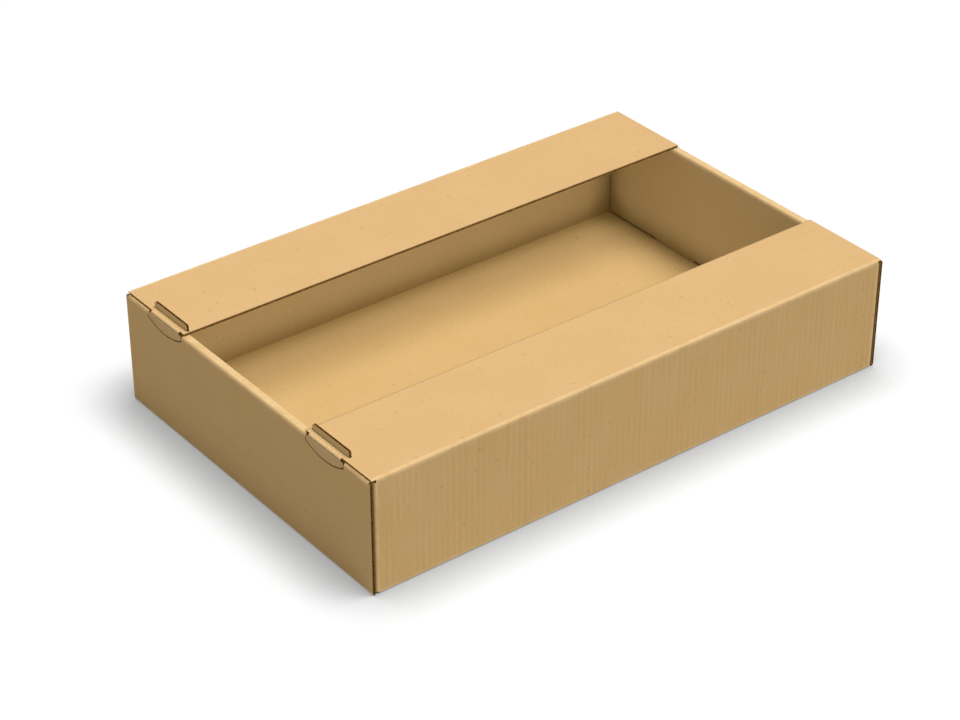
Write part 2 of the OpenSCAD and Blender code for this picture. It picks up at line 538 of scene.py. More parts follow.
    def window(self, side: Side, with_tongue: bool) -> Loop:
        """Outline of one lock's opening through the end panel and the rim.

        Args:
            side: The long side that the lock belongs to.
            with_tongue: Whether the opening goes round the tongue that stands in it.

        Returns:
            The closed outline in the flat sheet.
        """
        middle = side.value * self.lock_y
        half = self.tongue_width / 2 + self.moon_margin
        slit = self.tongue_width / 2 + self.cut_gap
        rim_start = self.panel_u(self.fold_z) + self.board.fold_length
        root = self.inner_u(self.fold_z)
        loop = [(-root, middle + slit), (-rim_start, middle + slit), (-rim_start, middle + half),
                *self.moon_on_panel(side, 0.0), (-rim_start, middle - half),
                (-rim_start, middle - slit), (-root, middle - slit)]
        return loop + list(reversed(self.tongue_outline(side))) if with_tongue else loop

    def flap_outline(self, side: Side, start: float) -> Loop:
        """Outline of a flap with its neck and tuck tab.

        Args:
            side: The long side that the flap belongs to.
            start: Flat distance across the sheet at which the flap begins.

        Returns:
            The closed outline in the flat sheet.
        """
        middle, neck = self.flap_v(self.lock_y), self.neck_width / 2
        head = self.tongue_width / 2 + self.moon_margin - self.moon_gap
        shoulder = self.tab_u(self.height - self.radius)
        return side.turned([
            (self.flap_end_x, start), (self.flap_end_x, self.flap_v(self.flap_edge_y)),
            (-self.flap_end_x, self.flap_v(self.flap_edge_y)),
            (-self.flap_end_x, middle + neck + self.cut_gap),
            (-self.side_x, middle + neck + self.cut_gap), (-self.side_x, middle + neck),
            (-shoulder, middle + neck), (-shoulder, middle + head),
            *self.moon_on_tab(self.moon_gap), (-shoulder, middle - head),
            (-shoulder, middle - neck), (-self.side_x, middle - neck),
            (-self.side_x, middle - neck - self.cut_gap),
            (-self.flap_end_x, middle - neck - self.cut_gap), (-self.flap_end_x, start)])

    def flap_holes(self, side: Side) -> list[Loop]:
        """Outlines of a flap's tongue slot and of the slits along the crease of its neck.

        Args:
            side: The long side that the flap belongs to.

        Returns:
            The closed outlines in the flat sheet, with the tongue slot first.
        """
        middle = self.flap_v(self.lock_y)
        half = self.tongue_width / 2 + self.tongue_play
        near, far = self.inside_x - self.tongue_side_play, self.inner_x + self.tongue_side_play
        loops = [rectangle(-near, middle - half, -far, middle + half)]
        count = int(self.neck_width / self.slit_pitch)
        reach = self.slit_width / 2 / self.radius / (math.pi / 2) * self.board.fold_length
        line = self.side_x + self.board.fold_length * self.slit_angle / 90
        for slit in range(count):
            place = middle + (slit - (count - 1) / 2) * self.slit_pitch
            loops.append(rectangle(-line - reach, place - self.slit_length / 2,
                                   -line + reach, place + self.slit_length / 2))
        return [side.turned(loop) for loop in loops]

    def tray_creases(self, steps: int) -> list[Line]:
        """Lines that divide the tray's part of the sheet so that its folds bend smoothly.

        Args:
            steps: Number of divisions in each square fold.

        Returns:
            The lines in the flat sheet.
        """
        lines = []
        low, high = self.wall_v(self.radius), self.wall_v(self.height - self.radius)
        hinge = self.hinge_v - self.side_y
        wear = self.board.wear
        for sign in (-1, 1):
            lines += [line_across(sign * (self.side_x - wear), self.side_y),
                      line_across(sign * (self.corner_x - wear), high),
                      line_along(sign * (self.side_y - wear), self.side_x)]
            lines += [line_across(sign * (self.side_x + place), self.end_y + OVERRUN)
                      for place in self.end_path.creases(steps)]
            lines += [line_along(sign * (self.side_y + place), self.corner_x)
                      for place in self.long_path.creases(steps, hinge)]
            for place in self.dust_path.creases(steps):
                u = sign * (self.corner_x + place)
                lines += [((u, side * low), (u, side * high)) for side in (-1, 1)]
        return lines

    def flap_creases(self, side: Side, steps: int) -> list[Line]:
        """Lines that divide a flap so that its half of the hinge and its neck bend smoothly.

        Args:
            side: The long side that the flap belongs to.
            steps: Number of divisions in each square fold.

        Returns:
            The lines in the flat sheet.
        """
        middle, neck = self.flap_v(self.lock_y), self.neck_width / 2
        hinge = self.hinge_v - self.side_y
        lines = [line_along(self.side_y + place, self.flap_end_x)
                 for place in self.long_path.creases(steps) if place > hinge - TINY]
        lines += [((-self.side_x - place, middle - neck), (-self.side_x - place, middle + neck))
                  for place in [-self.board.wear, *self.neck_path.creases(steps)]]
        return [tuple(side.turned(line)) for line in lines]

    @staticmethod
    def chain(points: Loop) -> list[Line]:
        """Join points with lines, one after another."""
        return list(zip(points, points[1:]))

    def window_shade_lines(self, side: Side) -> list[Line]:
        """Line round a half-moon window that bounds the painted shade along its edge."""
        return self.chain(self.moon_on_panel(side, -self.moon_shade_width))

    def flap_shade_lines(self, side: Side) -> list[Line]:
        """Lines that bound the painted shade along the edges of a tuck tab and of a flap's free
        edge.

        Args:
            side: The long side that the flap belongs to.

        Returns:
            The lines in the flat sheet.
        """
        tab = side.turned(self.moon_on_tab(self.moon_gap + self.moon_shade_width))
        inset = side.value * (self.flap_v(self.flap_edge_y) - self.free_edge_shade_width)
        return self.chain(tab) + [line_along(inset, self.flap_end_x)]

    def edge_painted_shade(self, flat: np.ndarray) -> np.ndarray:
        """Tell how much painted shade darkens the liner next to a cut edge, at each point of the
        flat sheet.

        Args:
            flat: Points as (along, across, depth below the outer face).

        Returns:
            One at the half-moons and the slits, less at the flaps' free edges, zero elsewhere.
        """
        dark = np.where(np.abs(flat[:, 1]) > self.flap_v(self.flap_edge_y) - TINY,
                        self.free_edge_shade, 0.0)
        for side in Side:
            marks = self.moon_on_panel(side, 0.0) + side.turned(self.moon_on_tab(self.moon_gap))
            marks += [point for loop in self.flap_holes(side)[1:] for point in loop]
            off = flat[:, None, :2] - np.array(marks)[None]
            dark[(np.hypot(off[..., 0], off[..., 1]).min(1) < TINY)] = 1.0
        return dark

    def fold(self, flat: np.ndarray) -> tuple[np.ndarray, np.ndarray, np.ndarray, np.ndarray]:
        """Fold points of the flat sheet to their places on the closed box.

        Args:
            flat: Points as (along, across, depth below the outer face).

        Returns:
            Places, directions out of the board's outer face, how creased each point is, which sets
            the crease wear and painted highlight, and a mask that is one on the outside of the two
            long walls, where the painted shade of the flutes is strong. The inner liner is pressed
            together in a fold and shows no wear and no painted highlight, so it isn't creased.
        """
        u, v, depth = flat.T
        across, along = np.abs(u), np.abs(v)
        sign_x, sign_y = np.where(u < 0, -1.0, 1.0), np.where(v < 0, -1.0, 1.0)
        places = np.stack([u, v, depth], 1)
        ways = np.tile((0.0, 0.0, -1.0), (len(flat), 1))
        bent, wall = np.zeros(len(flat)), np.zeros(len(flat))

        def put(zone: np.ndarray, place: tuple, way: tuple, creased: float | np.ndarray) -> None:
            """Fold one zone of the sheet, given as formulas for all points.

            Args:
                zone: Mask of the zone's points.
                place: Formulas for the three coordinates.
                way: Formulas for the direction out of the board.
                creased: How creased the points are.
            """
            places[zone] = np.stack([part + 0 * u for part in place], 1)[zone]
            ways[zone] = np.stack([part + 0 * u for part in way], 1)[zone]
            bent[zone] = (creased + 0 * u)[zone]

        root, panel_top = self.inner_u(self.fold_z), self.panel_u(self.fold_z)
        wall_low, lock_v = self.wall_v(self.radius), self.flap_v(self.lock_y)
        end = (across > self.side_x - TINY) & (along < self.end_y + TINY)
        tongue = end & (u < 0) & (across < root) & (across > self.inner_u(self.tongue_top) - TINY)
        tongue &= np.abs(along - self.lock_y) < (self.tongue_width + self.cut_gap) / 2
        rise = end & (across > panel_top) & (along > self.inner_y + TINY)
        flap = along > self.hinge_v - TINY
        neck = flap & (u < 0) & (across > self.side_x) & (
            (np.abs(along - lock_v) < (self.neck_width + self.cut_gap) / 2)
            | (across > self.flap_end_x + TINY))
        side = (along > self.side_y) & ~end & ~neck
        dust = side & ~flap & (across > self.corner_x) & (along > wall_low - TINY)
        inner_liner = depth > self.board.thickness / 2
        # Mask for where the painted shade of the flutes is strong: the outside of the long walls.
        wall[side & (along > wall_low - TINY) & ~flap & ~inner_liner] = 1.0

        point, way, creased = self.end_path.at(across - self.side_x, depth)
        put(end, (sign_x * point[:, 0], v, point[:, 1]),
            (sign_x * way[:, 0], 0, way[:, 1]), creased)
        put(tongue, (-self.inside_x - depth, v, self.fold_z + root - across), (1, 0, 0), 0)
        put(rise, (sign_x * (self.half_length - depth), v, self.fold_z + across - panel_top),
            (sign_x, 0, 0), 0)
        point, way, creased = self.long_path.at(along - self.side_y, depth)
        put(side, (u, sign_y * point[:, 0], point[:, 1]),
            (0, sign_y * way[:, 0], way[:, 1]), creased)
        point, way, creased = self.dust_path.at(across - self.corner_x, depth)
        put(dust, (sign_x * point[:, 0], sign_y * point[:, 1], self.radius + along - wall_low),
            (sign_x * way[:, 0], sign_y * way[:, 1], 0), creased)
        point, way, creased = self.neck_path.at(across - self.side_x, depth)
        put(neck, (-point[:, 0], sign_y * (self.side_y + self.flap_v(self.side_y) - along),
                   point[:, 1]), (-way[:, 0], 0, way[:, 1]), creased)
        bent[inner_liner] = 0.0
        return places, ways, bent, wall


@dataclass
class Sheet:
    """A flat outline cut into triangles."""

    points: np.ndarray
    triangles: np.ndarray
    rim: np.ndarray

    @classmethod
    def cut(cls, loops: list[Loop], lines: list[Line]) -> "Sheet":
        """Cut a sheet out along its outlines and divide it along lines.

        Args:
            loops: Closed outlines, of the sheet itself and of the holes in it.
            lines: Further lines that the triangles must not cross.

        Returns:
            The sheet, with its triangles counter-clockwise.
        """
        coords, edges = [], []
        for loop in loops:
            first = len(coords)
            coords += [Vector(point) for point in loop]
            edges += [(first + i, first + (i + 1) % len(loop)) for i in range(len(loop))]
        for start, end in lines:
            edges.append((len(coords), len(coords) + 1))
            coords += [Vector(start), Vector(end)]
        out_points, _, out_faces, *_ = delaunay_2d_cdt(coords, edges, [], 0, TINY / 10, False)
        points = np.array([tuple(p) for p in out_points], float)
        triangles = np.array([tuple(f) for f in out_faces], int)
        middles = points[triangles].mean(1)
        triangles = triangles[cls.inside(middles, loops)]
        a, b, c = (points[triangles[:, i]] for i in range(3))
        area = (b[:, 0] - a[:, 0]) * (c[:, 1] - a[:, 1]) - (b[:, 1] - a[:, 1]) * (c[:, 0] - a[:, 0])
        triangles[area < 0] = triangles[area < 0][:, ::-1]
        triangles = triangles[np.abs(area) > 0]
        used, triangles = np.unique(triangles, return_inverse=True)
        triangles = triangles.reshape(-1, 3)
        directed = np.concatenate([triangles[:, pair] for pair in ([0, 1], [1, 2], [2, 0])])
        both_ways = {tuple(edge) for edge in directed}
        rim = np.array([edge for edge in directed if (edge[1], edge[0]) not in both_ways])
        return cls(points[used], triangles, rim)

    @staticmethod
    def inside(points: np.ndarray, loops: list[Loop]) -> np.ndarray:
        """Tell which points lie in the sheet, by counting outlines on the way out.

        Args:
            points: Points in the flat sheet.
            loops: Closed outlines, of the sheet itself and of the holes in it.

        Returns:
            A mask that is true for the points in the sheet.
        """
        crossed = np.zeros(len(points), int)
        x, y = points.T
        for loop in loops:
            corners = np.array(loop)
            for (x0, y0), (x1, y1) in zip(corners, np.roll(corners, -1, 0)):
                if y0 != y1:
                    between = (y0 > y) != (y1 > y)
                    crossed += between & (x < (x1 - x0) * (y - y0) / (y1 - y0) + x0)
        return crossed % 2 == 1


@dataclass
class Layer:
    """A closed paper layer in the flat sheet."""

    points: np.ndarray
    faces: list[tuple[int, ...]]
    kinds: np.ndarray
    across: np.ndarray

    @classmethod
    def raised(cls, sheet: Sheet, top: float, bottom: float, flutes_along: int = 1) -> "Layer":
        """Give a sheet its thickness.

        Args:
            sheet: The flat sheet.
            top: Depth of the layer's outer face.
            bottom: Depth of its inner face.
            flutes_along: The flat axis that flutes in this layer run along, 0 or 1.

        Returns:
            The closed layer.
        """
        count = len(sheet.points)
        upper = np.column_stack([sheet.points, np.full(count, top)])
        lower = np.column_stack([sheet.points, np.full(count, bottom)])
        faces = [tuple(face[::-1]) for face in sheet.triangles.tolist()]
        faces += [tuple(count + i for i in face) for face in sheet.triangles.tolist()]
        faces += [(i, j, count + j, count + i) for i, j in sheet.rim.tolist()]
        kinds = np.repeat([Face.OUTER, Face.INNER, Face.CUT],
                          [len(sheet.triangles), len(sheet.triangles), len(sheet.rim)])
        points = np.concatenate([upper, lower])
        return cls(points, faces, kinds, points[:, 1 - flutes_along].copy())

    @classmethod
    def together(cls, layers: list["Layer"]) -> "Layer":
        """Put several layers into one, each still a closed shell of its own.

        Args:
            layers: The layers.

        Returns:
            One layer with all their points and faces.
        """
        faces, first = [], 0
        for layer in layers:
            faces += [tuple(first + i for i in face) for face in layer.faces]
            first += len(layer.points)
        return cls(np.concatenate([layer.points for layer in layers]), faces,
                   np.concatenate([layer.kinds for layer in layers]),
                   np.concatenate([layer.across for layer in layers]))


@dataclass(frozen=True)
class Grain:
    """One noise in the paper: its scale per metre, its finer layers and its stretch."""

    scale: float
    detail: float = 2.0
    stretch: tuple[float, float, float] = (1.0, 1.0, 1.0)


class NodeNet:
    """Short ways to add nodes and links to a node tree."""

    def __init__(self, tree: bpy.types.NodeTree) -> None:
        """Take the tree that nodes are added to."""
        self.tree = tree

    def node(self, kind: str, values: dict[str | int, object] | None = None,
             **settings: object) -> bpy.types.Node:
        """Add a node, set its properties and fill its inputs.

        Args:
            kind: Type of the node.
            values: Sockets or constants for its inputs, by the inputs' names or places.
            **settings: Properties to set on it.

        Returns:
            The node.
        """
        made = self.tree.nodes.new(kind)
        for name, value in settings.items():
            setattr(made, name, value)
        self.fill_all(made, values or {})
        return made

    def fill(self, socket: bpy.types.NodeSocket, value: object) -> None:
        """Link a socket to an input, or set the input to a constant.

        Args:
            socket: The input.
            value: A socket or a constant.
        """
        if isinstance(value, bpy.types.NodeSocket):
            self.tree.links.new(value, socket)
        else:
            socket.default_value = value

    def fill_all(self, node: bpy.types.Node, values: dict[str | int, object]) -> None:
        """Fill several inputs of a node, by their names or places."""
        for name, value in values.items():
            self.fill(node.inputs[name], value)

    def math(self, operation: str, *values: object) -> bpy.types.NodeSocket:
        """Add a Math node.

        Args:
            operation: What the node does.
            *values: Its operands, each a socket or a number.

        Returns:
            The result's socket.
        """
        return self.node("ShaderNodeMath", dict(enumerate(values)), operation=operation).outputs[0]

    def ramp(self, value: bpy.types.NodeSocket, low: float, high: float) -> bpy.types.NodeSocket:
        """Spread a value from low to high smoothly over 0 to 1.

        Args:
            value: The value.
            low: Where the result is 0.
            high: Where the result is 1.

        Returns:
            The result's socket.
        """
        return self.node("ShaderNodeMapRange", {"Value": value, "From Min": low, "From Max": high},
                         interpolation_type="SMOOTHSTEP").outputs["Result"]

    def mix(self, share: object, first: object, second: object,
            blend: str = "MIX") -> bpy.types.NodeSocket:
        """Mix two colours by a share.

        Args:
            share: How much of the second colour there is.
            first: The first colour.
            second: The second colour.
            blend: How the second is laid over the first.

        Returns:
            The mixed colour's socket.
        """
        return self.node("ShaderNodeMix", {0: share, 6: first, 7: second}, data_type="RGBA",
                         blend_type=blend).outputs[2]

    def noise(self, vector: bpy.types.NodeSocket, grain: Grain) -> bpy.types.NodeSocket:
        """Add a noise texture.

        Args:
            vector: Where the noise is read.
            grain: The noise's sizes.

        Returns:
            The noise value.
        """
        placed = self.node("ShaderNodeMapping", {"Vector": vector, "Scale": grain.stretch})
        return self.node("ShaderNodeTexNoise", {
            "Vector": placed.outputs["Vector"], "Scale": grain.scale,
            "Detail": grain.detail}).outputs[0]


def add_object(name: str, data: bpy.types.ID) -> bpy.types.Object:
    """Add an object to the scene.

    Args:
        name: Name of the object.
        data: What it shows.

    Returns:
        The object.
    """
    made = bpy.data.objects.new(name, data)
    bpy.context.scene.collection.objects.link(made)
    return made


def store(mesh: bpy.types.Mesh, label: str, values: np.ndarray) -> None:
    """Store a value at each point of a mesh."""
    stored = mesh.attributes.new(label, "FLOAT", "POINT")
    stored.data.foreach_set("value", values.astype(np.float32))


def add_material(name: str) -> tuple[bpy.types.Material, NodeNet, bpy.types.Node]:
    """Make a material that is built of nodes.

    Args:
        name: Name of the material.

    Returns:
        The material, its net and its surface shader.
    """
    material = bpy.data.materials.new(name)
    material.use_nodes = True
    return material, NodeNet(material.node_tree), material.node_tree.nodes["Principled BSDF"]


class FluteNodes:
    """Geometry Nodes that press the flutes into a flat medium."""

    SOCKETS = (("Pitch", "NodeSocketFloat"), ("Height", "NodeSocketFloat"),
               ("Crush", "NodeSocketFloat"), ("Seed", "NodeSocketFloat"),
               ("Paper", "NodeSocketMaterial"))
    ATTRIBUTE = "across_flutes"
    CRUSH = 0.12

    def __init__(self) -> None:
        """Build the node tree once, for every medium."""
        self.tree = bpy.data.node_groups.new("Press flutes", "GeometryNodeTree")
        face = self.tree.interface
        face.new_socket("Geometry", in_out="INPUT", socket_type="NodeSocketGeometry")
        self.inputs = {name: face.new_socket(name, in_out="INPUT", socket_type=kind).identifier
                       for name, kind in self.SOCKETS}
        face.new_socket("Geometry", in_out="OUTPUT", socket_type="NodeSocketGeometry")
        net = NodeNet(self.tree)
        given, out = net.node("NodeGroupInput"), net.node("NodeGroupOutput")
        across = net.node("GeometryNodeInputNamedAttribute", {"Name": self.ATTRIBUTE},
                          data_type="FLOAT")
        turns = net.math("DIVIDE", across.outputs["Attribute"], given.outputs["Pitch"])
        wave = net.math("SINE", net.math("MULTIPLY", turns, 2 * math.pi))
        place = net.node("ShaderNodeCombineXYZ", {"X": turns, "Y": given.outputs["Seed"]})
        flute = net.node("ShaderNodeTexNoise", {
            "Vector": place.outputs["Vector"], "Scale": 1.0, "Detail": 0.0},
            noise_dimensions="2D")
        less = net.math("MULTIPLY", flute.outputs[0], given.outputs["Crush"])
        height = net.math("MULTIPLY", net.math("SUBTRACT", 1.0, less), given.outputs["Height"])
        offset = net.node("ShaderNodeCombineXYZ", {"Z": net.math("MULTIPLY", wave, height)})
        press = net.node("GeometryNodeSetPosition", {
            "Geometry": given.outputs["Geometry"], "Offset": offset.outputs["Vector"]})
        real = net.node("GeometryNodeRealizeInstances", {"Geometry": press.outputs["Geometry"]})
        paint = net.node("GeometryNodeSetMaterial", {
            "Geometry": real.outputs["Geometry"], "Material": given.outputs["Paper"]})
        net.fill(out.inputs["Geometry"], paint.outputs["Geometry"])

    def press(self, layer: Layer, board: Board, paper: bpy.types.Material) -> Layer:
        """Press flutes into a flat layer.

        Args:
            layer: The flat medium.
            board: The board, which gives the flutes' pitch and height.
            paper: Material of the medium.

        Returns:
            The layer with its points moved to the fluted surface.
        """
        mesh = bpy.data.meshes.new("medium")
        mesh.from_pydata(layer.points.tolist(), [], layer.faces)
        store(mesh, self.ATTRIBUTE, layer.across)
        medium = add_object("medium", mesh)
        modifier = medium.modifiers.new("Press flutes", "NODES")
        modifier.node_group = self.tree
        values = {"Pitch": board.pitch, "Height": board.flute_height, "Crush": self.CRUSH,
                  "Seed": float(SEED), "Paper": paper}
        for name, value in values.items():
            modifier[self.inputs[name]] = value
        graph = bpy.context.evaluated_depsgraph_get()
        pressed = bpy.data.meshes.new_from_object(medium.evaluated_get(graph))
        points = np.zeros(len(pressed.vertices) * 3)
        pressed.vertices.foreach_get("co", points)
        medium.modifiers.remove(modifier)
        bpy.data.objects.remove(medium)
        bpy.data.meshes.remove(pressed)
        return Layer(points.reshape(-1, 3), layer.faces, layer.kinds, layer.across)


def fold_piece(name: str, layer: Layer, blank: Blank, show: bool,
               materials: list[bpy.types.Material]) -> bpy.types.Object:
    """Fold a layer and make it a piece.

    Args:
        name: Name of the piece.
        layer: The closed layer or layers in the flat sheet.
        blank: The sheet, which knows how to fold.
        show: Whether the first material goes on the faces that show, and the second on the
            rest. If not, the first material goes on all of them.
        materials: The materials.

    Returns:
        The piece, with its place in its mesh.
    """
    places, ways, bent, wall = blank.fold(layer.points)
    mesh = bpy.data.meshes.new(name)
    mesh.from_pydata((places * MM).tolist(), [], layer.faces)
    for material in materials:
        mesh.materials.append(material)
    mesh.shade_smooth()
    corners = np.concatenate([np.array(face) for face in layer.faces])
    counts = np.array([len(face) for face in layer.faces])
    kinds = np.repeat(layer.kinds, counts)
    depth = layer.points[corners, 2]
    if show:
        middle = blank.board.thickness / 2
        hidden = layer.kinds == Face.CUT
        first = np.array([face[0] for face in layer.faces])
        hidden |= (layer.kinds == Face.OUTER) & (layer.points[first, 2] > middle)
        hidden |= (layer.kinds == Face.INNER) & (layer.points[first, 2] < middle)
        mesh.polygons.foreach_set("material_index", hidden.astype(np.int32))
    flat = mesh.uv_layers.new(name="Sheet")
    spread = np.stack([layer.points[corners, 0] + depth, layer.points[corners, 1] + depth], 1)
    flat.data.foreach_set("uv", (spread * MM).astype(np.float32).ravel())
    edge = blank.edge_painted_shade(layer.points) if show else np.zeros(len(layer.points))
    for label, values in (("crease", bent), ("wall", wall), ("edge", edge)):
        store(mesh, label, values)
    if show:
        cut = np.zeros(len(mesh.polygons) * 3)
        mesh.polygons.foreach_get("normal", cut)
        normals = np.repeat(cut.reshape(-1, 3), counts, 0)
        normals[kinds == Face.OUTER] = ways[corners[kinds == Face.OUTER]]
        normals[kinds == Face.INNER] = -ways[corners[kinds == Face.INNER]]
        mesh.normals_split_custom_set(normals.tolist())
    else:
        mesh.set_sharp_from_angle(angle=math.radians(SHARP_DEGREES))
    return add_object(name, mesh)


class PaperGroups:
    """Shader groups that the box's papers share."""

    WIDE, WIDE_SHARE = Grain(28.0, 3.0), 0.6
    FINE, FINE_SHARE = Grain(240.0, 4.0), 0.4
    FIBRES_ALONG = Grain(900.0, 3.0, (0.35, 1.0, 1.0))
    FIBRES_ACROSS = Grain(900.0, 3.0, (1.0, 0.3, 1.0))
    SPOTS = Grain(330.0, 1.0, (1.0, 0.7, 1.0))
    SPOT_LIMIT, SPOT_RANGE, SPOT_EDGE = 0.80, 0.1, 0.05
    NOISE_MIDDLE = 0.5
    FLUTE_PATCHES, FLUTE_RANGE = Grain(60.0, 2.0, (1.0, 0.35, 1.0)), (0.30, 0.65)
    STREAKS, STREAK_STRENGTH = Grain(420.0, 2.0, (1.0, 0.03, 1.0)), 4.0
    # Patches that vary the crease wear and painted highlight.
    WORN_PATCHES, WORN_RANGE = Grain(90.0, 3.0), (0.2, 0.6)
    RIDGE_RANGE, MIDDLE_RANGE, MIDDLE_LESS = (0.0, 0.35), (0.6, 1.0), 0.7

    def __init__(self) -> None:
        """Build each group once."""
        self.fibre = self.build_fibre()
        self.flutes = self.build_flutes()
        self.crease = self.build_crease()

    @staticmethod
    def start(name: str, inputs: dict[str, str],
              outputs: tuple[str, ...]) -> tuple[NodeNet, bpy.types.Node, bpy.types.Node]:
        """Start a group with named sockets.

        Args:
            name: Name of the group.
            inputs: Socket types by the names of the inputs.
            outputs: Names of the outputs, which are all values.

        Returns:
            The group's net, its input node and its output node.
        """
        tree = bpy.data.node_groups.new(name, "ShaderNodeTree")
        for label, kind in inputs.items():
            tree.interface.new_socket(label, in_out="INPUT", socket_type=kind)
        for label in outputs:
            tree.interface.new_socket(label, in_out="OUTPUT", socket_type="NodeSocketFloat")
        net = NodeNet(tree)
        return net, net.node("NodeGroupInput"), net.node("NodeGroupOutput")

    def build_fibre(self) -> bpy.types.NodeTree:
        """Build the paper's own texture: cloudy pulp, short fibres and dark flecks.

        Returns:
            The group.
        """
        net, given, out = self.start(
            "Paper fibre", {"Vector": "NodeSocketVector", "Flecks": "NodeSocketFloat"},
            ("Cloud", "Fibre", "Fleck"))
        place = given.outputs["Vector"]
        cloud = net.math("ADD", net.math("MULTIPLY", net.noise(place, self.WIDE), self.WIDE_SHARE),
                         net.math("MULTIPLY", net.noise(place, self.FINE), self.FINE_SHARE))
        fibres = net.math("ADD", net.noise(place, self.FIBRES_ALONG),
                          net.noise(place, self.FIBRES_ACROSS))
        fibre = net.math("MULTIPLY", fibres, 0.5)
        limit = net.math("SUBTRACT", self.SPOT_LIMIT,
                         net.math("MULTIPLY", given.outputs["Flecks"], self.SPOT_RANGE))
        fleck = net.node("ShaderNodeMapRange", {
            "Value": net.noise(place, self.SPOTS), "From Min": limit,
            "From Max": net.math("ADD", limit, self.SPOT_EDGE)})
        net.fill_all(out, {"Cloud": cloud, "Fibre": fibre, "Fleck": fleck.outputs["Result"]})
        return net.tree

    def build_flutes(self) -> bpy.types.NodeTree:
        """Build the lines of the flutes under a liner, which give its bump and its painted shade.

        Returns:
            The group.
        """
        net, given, out = self.start(
            "Flute lines", {"Vector": "NodeSocketVector", "Pitch": "NodeSocketFloat"}, ("Line",))
        place = net.node("ShaderNodeSeparateXYZ", {"Vector": given.outputs["Vector"]})
        turns = net.math("DIVIDE", place.outputs["X"], given.outputs["Pitch"])
        wave = net.math("SINE", net.math("MULTIPLY", turns, 2 * math.pi))
        patch = net.noise(given.outputs["Vector"], self.FLUTE_PATCHES)
        strength = net.ramp(patch, *self.FLUTE_RANGE)
        streak = net.noise(given.outputs["Vector"], self.STREAKS)
        line = net.math("ADD", net.math("MULTIPLY", wave, strength), net.math(
            "MULTIPLY", net.math("SUBTRACT", streak, self.NOISE_MIDDLE), self.STREAK_STRENGTH))
        net.fill(out.inputs["Line"], line)
        return net.tree

    def build_crease(self) -> bpy.types.NodeTree:
        """Build the light lines along the two sides of a fold: partly paper stretched and rubbed
        there, partly a painted highlight.

        Returns:
            The group.
        """
        net, given, out = self.start(
            "Crease wear and painted highlight", {"Vector": "NodeSocketVector", "Bent": "NodeSocketFloat"}, ("Ridge",))
        bent = given.outputs["Bent"]
        middle = net.math("MULTIPLY", net.ramp(bent, *self.MIDDLE_RANGE), self.MIDDLE_LESS)
        ridge = net.math("MULTIPLY", net.ramp(bent, *self.RIDGE_RANGE),
                         net.math("SUBTRACT", 1.0, middle))
        patch = net.ramp(net.noise(given.outputs["Vector"], self.WORN_PATCHES), *self.WORN_RANGE)
        net.fill(out.inputs["Ridge"], net.math("MULTIPLY", ridge, patch))
        return net.tree


